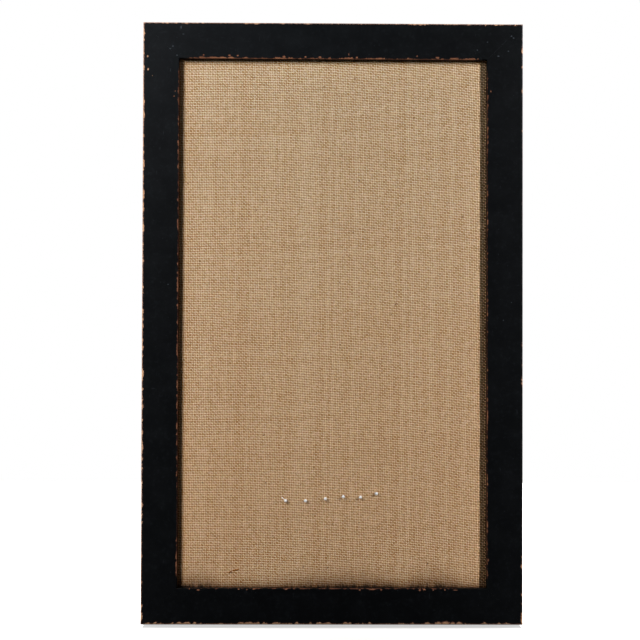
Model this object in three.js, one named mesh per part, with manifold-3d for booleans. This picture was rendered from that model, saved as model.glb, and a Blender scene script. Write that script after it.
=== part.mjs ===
// Fabric pin board: a black mitred frame round a burlap-covered panel, with six ball-head pins.
// Millimetres, +Z up, the front faces -Y. The origin is on the wall, midway between the hanging rings.
import * as THREE from "three";
import { mergeVertices } from "three/addons/utils/BufferGeometryUtils.js";
import Module from "manifold-3d";

const wasm = await Module();
wasm.setup();

// Frame rails: flat face, eased arrises, a rabbet behind the lip
const BOARD_WIDTH = 482.6;
const BOARD_HEIGHT = 762;
const RAIL_WIDTH = 46;
const LIP_DEPTH = 9;
const SHELF_WIDTH = 6.5;
const OUTER_EASE = 1.6;
const INNER_EASE = 1.2;
const BACK_EASE = 0.8;
const MITRE_GAP = 0.3;

// V nails driven across the back of each mitre
const NAILS_PER_MITRE = 2;
const NAIL_ARM = 5.5;
const NAIL_THICK = 0.8;
const NAIL_HEIGHT = 10;
const NAIL_HALF_ANGLE = THREE.MathUtils.degToRad(58);
const NAIL_SINK = 0.5;
const NAIL_CLEARANCE = 0.3;

// Panel: burlap wrapped round a soft core, with a hardboard sheet behind it.
// The gaps lie before and behind the cloth front, before and behind its flaps, and behind the hardboard.
const BURLAP_THICK = 0.9;
const FLAP_WIDTH = 35;
const FOLD_SLIT = 0.8;
const CORE_THICK = 9.5;
const BACKING_THICK = 3.2;
const LAYER_GAP = 0.3;
const GAP_COUNT = 5;
const PANEL_PLAY = 0.8;

// Turn buttons that hold the backing in its rabbet
const BUTTON_BOSS_RADIUS = 5;
const BUTTON_TIP_RADIUS = 3.4;
const BUTTON_REACH = 15;
const BUTTON_THICK = 1.2;
const BUTTON_SETBACK = 9;
const BUTTON_INSET = 195;

// Pan-head wood screws, the same for buttons and hangers
const SCREW_RADIUS = 1.5;
const SCREW_LENGTH = 13;
const SCREW_POINT = 3;
const SCREW_HEAD_RADIUS = 3.2;
const SCREW_HEAD_HEIGHT = 1.9;
const SCREW_RIM_HEIGHT = 0.85;
const SCREW_CROWN_RADIUS = 2.4;
const SCREW_CROWN_HEIGHT = 1.67;
const SCREW_CLEARANCE = 0.3;

// Strap hangers with D rings
const HANGER_INSET = 90;
const STRAP_WIDTH = 11;
const STRAP_LENGTH = 46;
const SHEET_THICK = 0.9;
const STRAP_SCREW_START = 25;
const STRAP_SCREW_SPACING = 13;
const RING_WIRE_RADIUS = 1.2;
const RING_HALF_WIDTH = 9;
const RING_CORNER = 2.5;
const RING_ARM = 3.5;
const RING_BUTT = 0.5;
const KNUCKLE_CLEARANCE = 0.3;
const RING_REST_GAP = 0.3;

// Rubber bumpers on the back of the bottom rail
const BUMPER_RADIUS = 6;
const BUMPER_HEIGHT = 5;
const BUMPER_ROUND = 1.5;
const BUMPER_INSET = 34;

// Hardware lies this far off the wood or metal it is screwed to
const SEAT_GAP = 0.1;

// Pins: x from the centre line, rise above the sight edge, and how far the head leans off its hole
const PIN_HEAD_RADIUS = 2.1;
const PIN_COLLAR_RADIUS = 0.9;
const PIN_SHAFT_RADIUS = 0.45;
const PIN_LENGTH = 12;
const PIN_POINT = 2.5;
const PIN_STAND = 3.6;
const PIN_HOLE_CLEARANCE = 0.3;
const PIN_SOCKET_CLEARANCE = 0.1;
const PINS = [
  { x: -63.6, rise: 113.9, lean: [4.8, -4.2] },
  { x: -34.0, rise: 110.1, lean: [0.3, -0.4] },
  { x: -8.6, rise: 113.4, lean: [0.1, -1.3] },
  { x: 12.9, rise: 118.0, lean: [1.3, -3.2] },
  { x: 36.8, rise: 114.7, lean: [-0.8, -0.5] },
  { x: 56.5, rise: 119.1, lean: [-0.3, -0.3] },
];

// How finely round forms are faceted
const ARC_STEPS = 3;
const BORE_STEPS = 9;
const STRAP_END_STEPS = 6;
const ROUND_SIDES = 16;
const WIRE_SIDES = 10;
const WIRE_STEPS = 48;
const PIN_SIDES = 18;

// Sizes that follow from the ones above; y is 0 on the frame's back and negative towards the front
const backFaceWidth = RAIL_WIDTH - SHELF_WIDTH;
const rabbetDepth = 2 * BURLAP_THICK + CORE_THICK + BACKING_THICK + GAP_COUNT * LAYER_GAP;
const railDepth = LIP_DEPTH + rabbetDepth;
const halfWidth = BOARD_WIDTH / 2;
const halfHeight = BOARD_HEIGHT / 2;
const sightEdgeZ = RAIL_WIDTH - halfHeight;
const panelWidth = BOARD_WIDTH - 2 * (backFaceWidth + PANEL_PLAY);
const panelHeight = BOARD_HEIGHT - 2 * (backFaceWidth + PANEL_PLAY);
const clothFrontY = LAYER_GAP - rabbetDepth;
const coreFrontY = clothFrontY + BURLAP_THICK + LAYER_GAP;
const coreBackY = coreFrontY + CORE_THICK;
const clothBackY = coreBackY + LAYER_GAP + BURLAP_THICK;
const backingFrontY = clothBackY + LAYER_GAP;
const knuckleBore = RING_WIRE_RADIUS + KNUCKLE_CLEARANCE;
const knuckleRadius = knuckleBore + SHEET_THICK;
const strapThick = 2 * SHEET_THICK;
const ringReach = RING_CORNER + RING_ARM + RING_HALF_WIDTH;
const hangerX = halfWidth - backFaceWidth / 2;
const hangerZ = halfHeight - HANGER_INSET;

const OUTWARD = new THREE.Vector3(0, 1, 0);

const paint = { color: 0x121316, roughness: 0.5, metalness: 0 };
const steel = { color: 0xb9bbbd, roughness: 0.35, metalness: 1 };
const brassPlate = { color: 0xc9a86a, roughness: 0.35, metalness: 1 };
const burlap = { color: 0xb39775, roughness: 0.95, metalness: 0 };
const fibreboard = { color: 0x8d8272, roughness: 0.95, metalness: 0 };
const hardboard = { color: 0x6b4a30, roughness: 0.7, metalness: 0 };
const rubber = { color: 0x2a2a2c, roughness: 0.8, metalness: 0 };
const pearl = { color: 0xf4f1ea, roughness: 0.25, metalness: 0 };

function addMesh(group, name, geometry, finish) {
  const mesh = new THREE.Mesh(geometry, new THREE.MeshStandardMaterial(finish));
  mesh.name = name;
  group.add(mesh);
  return mesh;
}

// A closed geometry as a solid that can be joined and cut
function toSolid(geometry) {
  const bare = geometry.clone();
  bare.deleteAttribute("normal");
  bare.deleteAttribute("uv");
  const merged = mergeVertices(bare);
  return new wasm.Manifold(new wasm.Mesh({
    numProp: 3,
    vertProperties: new Float32Array(merged.attributes.position.array),
    triVerts: new Uint32Array(merged.index.array),
  }));
}

function toGeometry(solid) {
  const result = solid.getMesh();
  const geometry = new THREE.BufferGeometry();
  geometry.setAttribute("position", new THREE.BufferAttribute(result.vertProperties, 3));
  geometry.setIndex(new THREE.BufferAttribute(result.triVerts, 1));
  geometry.computeVertexNormals();
  return geometry;
}

function cut(geometry, cutters) {
  let solid = toSolid(geometry);
  for (const cutter of cutters) {
    solid = solid.subtract(toSolid(cutter));
  }
  return toGeometry(solid);
}

function extrude(shape, depth, curveSegments = ARC_STEPS) {
  return new THREE.ExtrudeGeometry(shape, { depth, steps: 1, bevelEnabled: false, curveSegments });
}

// A flat outline drawn as x and z, made a plate from y0 to y1
function plate(shape, y0, y1, curveSegments) {
  const geometry = extrude(shape, y1 - y0, curveSegments);
  geometry.rotateX(Math.PI / 2);
  geometry.translate(0, y1, 0);
  return geometry;
}

function box(width, height, y0, y1) {
  const geometry = new THREE.BoxGeometry(width, y1 - y0, height);
  geometry.translate(0, (y0 + y1) / 2, 0);
  return geometry;
}

function lathe(points, sides = ROUND_SIDES) {
  return new THREE.LatheGeometry(points.map(([radius, y]) => new THREE.Vector2(radius, y)), sides);
}

// Section of a rail: across from the outer edge, and forward from the back face
function railSection() {
  const section = new THREE.Shape();
  const innerCentre = RAIL_WIDTH - INNER_EASE;
  section.moveTo(BACK_EASE, 0);
  section.lineTo(backFaceWidth, 0);
  section.lineTo(backFaceWidth, rabbetDepth);
  section.lineTo(RAIL_WIDTH, rabbetDepth);
  section.lineTo(RAIL_WIDTH, railDepth - INNER_EASE);
  section.absarc(innerCentre, railDepth - INNER_EASE, INNER_EASE, 0, Math.PI / 2);
  section.lineTo(OUTER_EASE, railDepth);
  section.absarc(OUTER_EASE, railDepth - OUTER_EASE, OUTER_EASE, Math.PI / 2, Math.PI);
  section.lineTo(0, BACK_EASE);
  section.closePath();
  return section;
}

// A rail lying along x with its outer edge at z 0; both ends follow the 45 degree mitre
function mitredRail(length) {
  const geometry = extrude(railSection(), length);
  const mitreShift = MITRE_GAP / Math.SQRT2;
  const corner = geometry.attributes.position;
  for (let i = 0; i < corner.count; i += 1) {
    const fromEnd = corner.getX(i) + mitreShift;
    corner.setZ(i, corner.getZ(i) < length / 2 ? fromEnd : length - fromEnd);
  }
  const across = new THREE.Vector3(0, 0, 1);
  const forward = new THREE.Vector3(0, -1, 0);
  const along = new THREE.Vector3(1, 0, 0);
  geometry.applyMatrix4(new THREE.Matrix4().makeBasis(across, forward, along));
  geometry.translate(-length / 2, 0, 0);
  return geometry;
}

// V nail: two arms that open along +x, standing from topY down into the wood
function cornerNail(clearance, topY) {
  const arm = NAIL_ARM + clearance;
  const half = NAIL_THICK / 2 + clearance;
  const end = new THREE.Vector2(Math.cos(NAIL_HALF_ANGLE), Math.sin(NAIL_HALF_ANGLE)).multiplyScalar(arm);
  const side = new THREE.Vector2(-Math.sin(NAIL_HALF_ANGLE), Math.cos(NAIL_HALF_ANGLE)).multiplyScalar(half);
  const apex = half / Math.sin(NAIL_HALF_ANGLE);
  const chevron = new THREE.Shape();
  chevron.moveTo(-apex, 0);
  chevron.lineTo(end.x + side.x, -end.y - side.y);
  chevron.lineTo(end.x - side.x, -end.y + side.y);
  chevron.lineTo(apex, 0);
  chevron.lineTo(end.x - side.x, end.y - side.y);
  chevron.lineTo(end.x + side.x, end.y + side.y);
  chevron.closePath();
  return plate(chevron, -NAIL_SINK - NAIL_HEIGHT - clearance, topY);
}

// The slot that a V nail was driven down, open at the back face
function nailSlot(x, z, turn) {
  const slot = cornerNail(NAIL_CLEARANCE, NAIL_CLEARANCE);
  slot.rotateY(turn);
  slot.translate(x, 0, z);
  return slot;
}

// Places along a mitre, counted inwards from the outer corner
function nailInsets() {
  const step = backFaceWidth / (NAILS_PER_MITRE + 1);
  return Array.from({ length: NAILS_PER_MITRE }, (_, i) => step * (i + 1));
}

// Pan-head screw along y, its head seated on y 0
function screw() {
  return lathe([
    [0, -SCREW_LENGTH],
    [SCREW_RADIUS, SCREW_POINT - SCREW_LENGTH],
    [SCREW_RADIUS, 0],
    [SCREW_HEAD_RADIUS, 0],
    [SCREW_HEAD_RADIUS, SCREW_RIM_HEIGHT],
    [SCREW_CROWN_RADIUS, SCREW_CROWN_HEIGHT],
    [0, SCREW_HEAD_HEIGHT],
  ]);
}

function screwHole(x, z, headSeatY) {
  const radius = SCREW_RADIUS + SCREW_CLEARANCE;
  const bottom = -SCREW_LENGTH - SCREW_CLEARANCE;
  const hole = lathe([
    [0, bottom],
    [radius, bottom + SCREW_POINT],
    [radius, SCREW_HEAD_HEIGHT],
    [0, SCREW_HEAD_HEIGHT],
  ]);
  hole.translate(x, headSeatY, z);
  return hole;
}

// Turn button: the hull of a round boss and a smaller tip that points along +z
function turnButton() {
  const lean = Math.asin((BUTTON_BOSS_RADIUS - BUTTON_TIP_RADIUS) / BUTTON_REACH);
  const outline = new THREE.Shape();
  outline.absarc(0, 0, BUTTON_BOSS_RADIUS, Math.PI - lean, lean);
  outline.absarc(0, BUTTON_REACH, BUTTON_TIP_RADIUS, lean, Math.PI - lean);
  outline.closePath();
  const hole = new THREE.Path();
  hole.absarc(0, 0, SCREW_RADIUS + SCREW_CLEARANCE, 0, 2 * Math.PI, true);
  outline.holes.push(hole);
  return plate(outline, 0, BUTTON_THICK, BORE_STEPS);
}

// Strap folded round the ring's bar: a flat double leaf below, a round knuckle at the top
function hangerStrap() {
  const meet = Math.PI + Math.asin((knuckleRadius - strapThick) / knuckleRadius);
  const fold = new THREE.Shape();
  fold.moveTo(-STRAP_LENGTH, 0);
  fold.lineTo(0, 0);
  fold.absarc(0, knuckleRadius, knuckleRadius, -Math.PI / 2, meet);
  fold.lineTo(-STRAP_LENGTH, strapThick);
  fold.closePath();
  const bore = new THREE.Path();
  bore.absarc(0, knuckleRadius, knuckleBore, 0, 2 * Math.PI, true);
  fold.holes.push(bore);
  const leaf = extrude(fold, STRAP_WIDTH, BORE_STEPS);
  const up = new THREE.Vector3(0, 0, 1);
  const out = new THREE.Vector3(0, 1, 0);
  const sideways = new THREE.Vector3(-1, 0, 0);
  leaf.applyMatrix4(new THREE.Matrix4().makeBasis(up, out, sideways));
  leaf.translate(STRAP_WIDTH / 2, 0, 0);

  const halfStrap = STRAP_WIDTH / 2;
  const outline = new THREE.Shape();
  outline.moveTo(halfStrap, 2 * knuckleRadius);
  outline.lineTo(-halfStrap, 2 * knuckleRadius);
  outline.lineTo(-halfStrap, halfStrap - STRAP_LENGTH);
  outline.absarc(0, halfStrap - STRAP_LENGTH, halfStrap, Math.PI, 2 * Math.PI);
  outline.closePath();
  const blank = plate(outline, -SHEET_THICK, 2 * knuckleRadius + SHEET_THICK, STRAP_END_STEPS);
  const rounded = toSolid(leaf).intersect(toSolid(blank));
  const holes = strapScrewDrops().map((drop) => screwHole(0, -drop, strapThick));
  return cut(toGeometry(rounded), holes);
}

// Screws of a strap, counted down from the ring's bar
function strapScrewDrops() {
  return [STRAP_SCREW_START, STRAP_SCREW_START + STRAP_SCREW_SPACING];
}

// The centre line of the ring's wire: it starts and ends at the butt joint in the straight bar
class RingLine extends THREE.Curve {
  constructor() {
    super();
    const barEnd = RING_HALF_WIDTH - RING_CORNER;
    const armFoot = -RING_CORNER - RING_ARM;
    this.line = new THREE.Path();
    this.line.moveTo(RING_BUTT / 2, 0);
    this.line.lineTo(barEnd, 0);
    this.line.absarc(barEnd, -RING_CORNER, RING_CORNER, Math.PI / 2, 0, true);
    this.line.lineTo(RING_HALF_WIDTH, armFoot);
    this.line.absarc(0, armFoot, RING_HALF_WIDTH, 0, -Math.PI, true);
    this.line.lineTo(-RING_HALF_WIDTH, -RING_CORNER);
    this.line.absarc(-barEnd, -RING_CORNER, RING_CORNER, Math.PI, Math.PI / 2, true);
    this.line.lineTo(-RING_BUTT / 2, 0);
  }

  getPoint(t, target = new THREE.Vector3()) {
    const point = this.line.getPoint(t);
    return target.set(point.x, 0, point.y);
  }
}

function hangerRing() {
  const wire = new THREE.Shape();
  for (let i = 0; i < WIRE_SIDES; i += 1) {
    const angle = (2 * Math.PI * i) / WIRE_SIDES;
    const corner = [RING_WIRE_RADIUS * Math.cos(angle), RING_WIRE_RADIUS * Math.sin(angle)];
    if (i === 0) {
      wire.moveTo(...corner);
    } else {
      wire.lineTo(...corner);
    }
  }
  wire.closePath();
  return new THREE.ExtrudeGeometry(wire, { steps: WIRE_STEPS, extrudePath: new RingLine() });
}

// Bumper: a rubber button with a flat face and a rounded rim
function bumper() {
  const profile = [[0, 0], [BUMPER_RADIUS, 0], [BUMPER_RADIUS, BUMPER_HEIGHT - BUMPER_ROUND]];
  for (let i = 1; i <= ARC_STEPS; i += 1) {
    const angle = (Math.PI / 2) * (i / ARC_STEPS);
    profile.push([
      BUMPER_RADIUS - BUMPER_ROUND * (1 - Math.cos(angle)),
      BUMPER_HEIGHT - BUMPER_ROUND * (1 - Math.sin(angle)),
    ]);
  }
  profile.push([0, BUMPER_HEIGHT]);
  return lathe(profile);
}

// Cloth front, turned over the core's four edges to flaps at the back with mitred corner folds
function burlapCover(pinHoles) {
  const wrap = box(panelWidth, panelHeight, clothFrontY, clothBackY);
  const hollowWidth = panelWidth - 2 * BURLAP_THICK;
  const hollowHeight = panelHeight - 2 * BURLAP_THICK;
  const hollow = box(hollowWidth, hollowHeight, clothFrontY + BURLAP_THICK, coreBackY + LAYER_GAP);
  const windowWidth = hollowWidth - 2 * FLAP_WIDTH;
  const windowHeight = hollowHeight - 2 * FLAP_WIDTH;
  const openBack = box(windowWidth, windowHeight, coreBackY, clothBackY + BURLAP_THICK);
  const slits = [-1, 1].flatMap((sideX) => [-1, 1].map((sideZ) => {
    const slit = box(FOLD_SLIT, FLAP_WIDTH * Math.SQRT2, coreBackY, clothBackY + BURLAP_THICK);
    slit.rotateY(sideX * sideZ * Math.PI / 4);
    slit.translate(sideX * (windowWidth + FLAP_WIDTH) / 2, 0, sideZ * (windowHeight + FLAP_WIDTH) / 2);
    return slit;
  }));
  return cut(wrap, [hollow, openBack, ...slits, ...pinHoles]);
}

function pinCore(pinHoles) {
  const inset = 2 * (BURLAP_THICK + LAYER_GAP);
  return cut(box(panelWidth - inset, panelHeight - inset, coreFrontY, coreBackY), pinHoles);
}

// Each pin: where it enters the cloth, the way it points out of it, and how far out its head stands
function pinPlaces() {
  return PINS.map(({ x, rise, lean }) => {
    const offset = new THREE.Vector3(lean[0], -PIN_STAND, lean[1]);
    return {
      entry: new THREE.Vector3(x, clothFrontY, sightEdgeZ + rise),
      direction: offset.clone().normalize(),
      standOff: offset.length(),
    };
  });
}

function turnTo(direction) {
  return new THREE.Quaternion().setFromUnitVectors(OUTWARD, direction);
}

// Ball head with a short collar and a socket for the shaft, centred on the origin, the shaft towards -y
function pinHead() {
  const socket = PIN_SHAFT_RADIUS + PIN_SOCKET_CLEARANCE;
  const collarY = -Math.sqrt(PIN_HEAD_RADIUS ** 2 - PIN_COLLAR_RADIUS ** 2);
  const profile = [[0, PIN_SOCKET_CLEARANCE], [socket, PIN_SOCKET_CLEARANCE], [socket, -PIN_HEAD_RADIUS]];
  profile.push([PIN_COLLAR_RADIUS, -PIN_HEAD_RADIUS]);
  const start = Math.asin(collarY / PIN_HEAD_RADIUS);
  const rings = PIN_SIDES / 2;
  for (let i = 0; i < rings; i += 1) {
    const angle = start + (Math.PI / 2 - start) * (i / rings);
    profile.push([PIN_HEAD_RADIUS * Math.cos(angle), PIN_HEAD_RADIUS * Math.sin(angle)]);
  }
  profile.push([0, PIN_HEAD_RADIUS]);
  return lathe(profile, PIN_SIDES);
}

function pinShaft() {
  return lathe([[0, -PIN_LENGTH], [PIN_SHAFT_RADIUS, PIN_POINT - PIN_LENGTH], [PIN_SHAFT_RADIUS, 0], [0, 0]]);
}

// The hole a pin slides in, deep enough for its head to be pressed home on the cloth
function pinHole({ entry, direction, standOff }) {
  const radius = PIN_SHAFT_RADIUS + PIN_HOLE_CLEARANCE;
  const pressedHead = PIN_HEAD_RADIUS * (standOff / PIN_STAND);
  const bottom = pressedHead - PIN_LENGTH - PIN_HOLE_CLEARANCE;
  const hole = lathe([[0, bottom], [radius, bottom], [radius, PIN_STAND], [0, PIN_STAND]], PIN_SIDES / 2);
  hole.applyQuaternion(turnTo(direction));
  hole.translate(entry.x, entry.y, entry.z);
  return hole;
}

const board = new THREE.Group();
const frame = new THREE.Group();
frame.position.set(0, -BUMPER_HEIGHT - SEAT_GAP, HANGER_INSET - halfHeight);
board.add(frame);

// The four sides, each in a group turned so that its own x runs along the rail and z points inwards
const stileButtons = halfHeight - BUTTON_INSET;
const SIDES = [
  { rail: "frame_bottom_rail", turn: 0, buttons: { bottom: 0 } },
  {
    rail: "frame_right_stile",
    turn: -Math.PI / 2,
    buttons: { right_upper: stileButtons, right_lower: -stileButtons },
    hanger: hangerZ,
    down: -1,
  },
  { rail: "frame_top_rail", turn: Math.PI, buttons: { top: 0 } },
  {
    rail: "frame_left_stile",
    turn: Math.PI / 2,
    buttons: { left_upper: -stileButtons, left_lower: stileButtons },
    hanger: -hangerZ,
    down: 1,
  },
];

const buttonAcross = backFaceWidth - BUTTON_SETBACK;
const buttonSeatY = 2 * SEAT_GAP + BUTTON_THICK;
const strapSeatY = 2 * SEAT_GAP + strapThick;

for (const { rail, turn, buttons, hanger, down } of SIDES) {
  const upright = hanger !== undefined;
  const length = upright ? BOARD_HEIGHT : BOARD_WIDTH;
  const sideGroup = new THREE.Group();
  sideGroup.rotation.y = turn;
  const edge = new THREE.Group();
  edge.position.z = upright ? -halfWidth : -halfHeight;
  sideGroup.add(edge);
  frame.add(sideGroup);

  const holes = nailInsets().flatMap((inset) => [
    nailSlot(inset - length / 2, inset, -Math.PI / 4),
    nailSlot(length / 2 - inset, inset, (-3 * Math.PI) / 4),
  ]);
  for (const along of Object.values(buttons)) {
    holes.push(screwHole(along, buttonAcross, buttonSeatY));
  }
  if (upright) {
    for (const drop of strapScrewDrops()) {
      holes.push(screwHole(hanger + down * drop, backFaceWidth / 2, strapSeatY));
    }
  }
  addMesh(edge, rail, cut(mitredRail(length), holes), paint);

  for (const [place, along] of Object.entries(buttons)) {
    const button = addMesh(edge, `turn_button_${place}`, turnButton(), brassPlate);
    button.position.set(along, SEAT_GAP, buttonAcross);
    const buttonScrew = addMesh(edge, `turn_button_screw_${place}`, screw(), steel);
    buttonScrew.position.set(along, buttonSeatY, buttonAcross);
  }
}

// V nails stand across the mitres, their arms opening inwards
for (const [sideX, sideZ, corner] of [
  [-1, 1, "top_left"],
  [1, 1, "top_right"],
  [-1, -1, "bottom_left"],
  [1, -1, "bottom_right"],
]) {
  nailInsets().forEach((inset, i) => {
    const nail = addMesh(frame, `corner_nail_${corner}_${i + 1}`, cornerNail(0, -NAIL_SINK), steel);
    nail.position.set(sideX * (halfWidth - inset), 0, sideZ * (halfHeight - inset));
    nail.rotation.y = Math.atan2(sideZ, -sideX);
  });
}

const places = pinPlaces();
const pinHoles = places.map(pinHole);
addMesh(frame, "burlap_cover", burlapCover(pinHoles), burlap);
addMesh(frame, "pin_core", pinCore(pinHoles), fibreboard);
addMesh(frame, "backing_board", box(panelWidth, panelHeight, backingFrontY, -LAYER_GAP), hardboard);

places.forEach(({ entry, direction, standOff }, i) => {
  const pin = new THREE.Group();
  pin.position.copy(entry).addScaledVector(direction, standOff);
  pin.quaternion.copy(turnTo(direction));
  addMesh(pin, `pin_head_${i + 1}`, pinHead(), pearl);
  addMesh(pin, `pin_shaft_${i + 1}`, pinShaft(), steel);
  frame.add(pin);
});

// Hangers on the stiles: at rest each ring hangs down and lies on its strap
const ringBarY = SEAT_GAP + knuckleRadius;
const ringSeatY = SEAT_GAP + strapThick + RING_REST_GAP + RING_WIRE_RADIUS;
for (const [sideX, place] of [[-1, "left"], [1, "right"]]) {
  const hanger = new THREE.Group();
  hanger.position.set(sideX * hangerX, 0, hangerZ);
  frame.add(hanger);
  addMesh(hanger, `hanger_strap_${place}`, hangerStrap(), steel).position.y = SEAT_GAP;
  const ring = addMesh(hanger, `hanger_ring_${place}`, hangerRing(), steel);
  ring.position.y = ringBarY;
  ring.rotation.x = Math.asin((ringSeatY - ringBarY) / ringReach);
  strapScrewDrops().forEach((drop, i) => {
    const hangerScrew = addMesh(hanger, `hanger_screw_${place}_${i + 1}`, screw(), steel);
    hangerScrew.position.set(0, strapSeatY, -drop);
  });

  const pad = addMesh(frame, `wall_bumper_${place}`, bumper(), rubber);
  pad.position.set(sideX * (halfWidth - BUMPER_INSET), SEAT_GAP, backFaceWidth / 2 - halfHeight);
}

export default board;
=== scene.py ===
"""Looks for a fabric bulletin board: a worn black wood frame, a burlap panel, six ball-head pins and the
fastenings on its back. Sizes are in metres, x to the right, y from the viewer to the wall, z up."""

import math

import bmesh
import bpy
import numpy as np
from mathutils import Matrix


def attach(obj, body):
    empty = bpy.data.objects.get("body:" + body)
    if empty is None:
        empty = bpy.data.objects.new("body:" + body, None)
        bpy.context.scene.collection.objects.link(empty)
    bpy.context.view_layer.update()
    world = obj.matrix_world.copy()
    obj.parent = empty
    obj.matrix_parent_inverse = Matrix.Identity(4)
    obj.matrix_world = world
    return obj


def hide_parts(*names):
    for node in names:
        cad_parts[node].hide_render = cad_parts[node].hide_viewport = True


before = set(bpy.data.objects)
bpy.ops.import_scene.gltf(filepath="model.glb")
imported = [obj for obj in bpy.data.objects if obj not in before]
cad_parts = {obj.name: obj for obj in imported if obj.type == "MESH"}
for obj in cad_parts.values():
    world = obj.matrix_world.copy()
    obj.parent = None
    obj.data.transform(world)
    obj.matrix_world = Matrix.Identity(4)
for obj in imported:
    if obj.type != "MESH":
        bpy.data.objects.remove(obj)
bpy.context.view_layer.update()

MM = 0.001
BOARD_WIDTH = 482.6 * MM
BOARD_HEIGHT = 762 * MM
BOARD_TOP = 90 * MM
BOARD_BOTTOM = BOARD_TOP - BOARD_HEIGHT
FRAME_BACK = -5.1 * MM
RAIL_WIDTH = 46 * MM
RAIL_DEPTH = 25 * MM
FRAME_FRONT = FRAME_BACK - RAIL_DEPTH
LIP_DEPTH = 9 * MM
SHELF_WIDTH = 6.5 * MM
OUTER_EASE = 1.5 * MM
INNER_EASE = 1.15 * MM
BACK_EASE = 0.8 * MM
OUTER_WORN = 0.5 * MM
INNER_WORN = 0.3 * MM
MITRE_GAP = 0.004 * MM
RAIL_STEPS = 760
ARC_POINTS = 9
SIGHT_BOTTOM = BOARD_BOTTOM + RAIL_WIDTH
SIGHT_TOP = BOARD_TOP - RAIL_WIDTH
SIGHT_SIDE = BOARD_WIDTH / 2 - RAIL_WIDTH

# Angles in degrees past which an edge shows as sharp.
FINE_CREASE = 40
PLATE_CREASE = 50
THREAD_CREASE = 60

CLOTH_FRONT = -20.8 * MM
PANEL_WIDTH = 402 * MM
PANEL_HEIGHT = 681.4 * MM
PANEL_DEPTH = 11.3 * MM
PANEL_MIDDLE = BOARD_TOP - BOARD_HEIGHT / 2
LIP_COVER = SIGHT_BOTTOM - (PANEL_MIDDLE - PANEL_HEIGHT / 2)
FLAP_WIDTH = 35.9 * MM
EDGE_ROUND = 1.6 * MM
WARP_PITCH = 2.25 * MM
WEFT_PITCH = 2.15 * MM

PIN_RADIUS = 2.1 * MM
PIN_COLLAR = 0.9 * MM
SHAFT_RADIUS = 0.45 * MM
PIN_LENGTH = 12 * MM
PIN_POINT = 2.5 * MM
PIN_STAND = 3.6 * MM
# Pins in millimetres: x of the hole, its height above the bottom lip, and the head's lean in x and z.
PINS = (
    (-63.6, 113.9, 4.8, -4.2),
    (-34.0, 110.1, 0.3, -0.4),
    (-8.6, 113.4, 0.1, -1.3),
    (12.9, 118.0, 1.3, -3.2),
    (36.8, 114.7, -0.8, -0.5),
    (56.5, 119.1, -0.3, -0.3),
)

# Chips down to the wood on the frame's face, in millimetres: x, z, half width and half height.
CHIPS = (
    (-235.7, 46.6, 0.75, 1.1),
    (-235.0, 30.0, 0.75, 1.1),
    (-229.6, 21.9, 0.3, 0.3),
    (-200.5, 2.4, 0.5, 0.4),
    (-202.0, -4.0, 0.4, 0.6),
    (200.5, 4.0, 0.6, 0.8),
    (241.0, 56.2, 1.1, 3.6),
    (241.0, 35.4, 0.9, 1.5),
    (241.0, 4.3, 0.9, 2.2),
    (241.0, -46.0, 0.8, 1.5),
    (-164.7, 48.6, 0.8, 0.7),
    (-132.0, 48.2, 1.2, 0.8),
    (-121.5, 48.0, 1.0, 0.7),
    (-62.7, 46.9, 1.6, 0.9),
    (-35.5, 46.6, 1.2, 0.8),
    (-17.0, 46.4, 1.6, 0.9),
    (19.6, 50.0, 0.4, 1.4),
    (30.0, 46.5, 1.3, 0.8),
    (106.5, 48.4, 0.6, 0.8),
    (132.5, 46.6, 1.9, 1.0),
    (184.0, 45.2, 0.7, 0.6),
    (-179.7, -627.0, 0.7, 0.6),
    (-168.5, -628.2, 1.5, 0.8),
    (-117.6, -627.2, 0.8, 0.7),
    (-107.4, -627.9, 0.6, 0.9),
    (-98.6, -627.1, 1.2, 0.7),
    (-58.0, -627.3, 1.5, 0.7),
    (35.1, -627.9, 0.9, 1.1),
    (50.9, -627.4, 3.5, 0.8),
    (62.3, -627.9, 0.9, 1.0),
    (111.1, -628.4, 1.2, 1.0),
    (116.8, -627.7, 1.6, 0.8),
    (128.2, -628.2, 0.6, 0.7),
    (142.8, -628.0, 0.9, 0.6),
    (156.1, -628.2, 2.4, 0.5),
    (197.6, -590.5, 0.8, 1.4),
    (196.9, -609.5, 0.7, 0.9),
    (135.0, -671.0, 3.0, 2.2),
    (143.5, -671.0, 4.5, 2.8),
    (153.0, -671.0, 2.5, 2.0),
    (161.0, -671.0, 3.5, 2.2),
)
# Pale scuffs in the paint, in the same form.
SCUFFS = (
    (-193.4, 83.8, 0.9, 2.6),
    (-190.5, 75.0, 1.6, 0.5),
    (-203.6, 59.6, 1.3, 0.9),
    (-207.0, 56.4, 1.5, 0.7),
    (-198.3, 48.0, 1.1, 1.2),
    (229.2, 72.2, 1.5, 1.0),
    (226.8, 74.6, 1.2, 0.9),
    (196.0, 66.9, 1.2, 0.9),
    (183.2, 56.6, 1.0, 1.0),
    (210.0, 49.1, 1.4, 1.0),
    (222.8, 55.6, 1.1, 1.0),
    (226.8, -264.3, 0.8, 0.8),
    (216.7, -287.2, 0.8, 1.0),
    (-208.3, -243.0, 0.8, 0.8),
)
SPOT_DEPTH = 1.5 * MM
# Stretches along the bottom lip where the painted shade of sagging cloth reaches further, in the same form.
SAG_SHADES = (
    (-172.0, -626.0, 30.0, 60.0),
    (15.0, -626.0, 85.0, 60.0),
    (128.0, -626.0, 40.0, 60.0),
)
SAG_SHADE_DEPTH = 60 * MM
# Threads pulled up out of the weave, in millimetres: start x and z, run in x and z, and lift.
PULLED_THREADS = (
    (-131.5, -608.3, 5.6, 4.2, 1.5),
    (-126.6, -604.6, 10.8, 1.5, 0.9),
)
THREAD_RADIUS = 0.5 * MM
THREAD_CROWN = (1.5, 0.5, 0.0)

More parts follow.
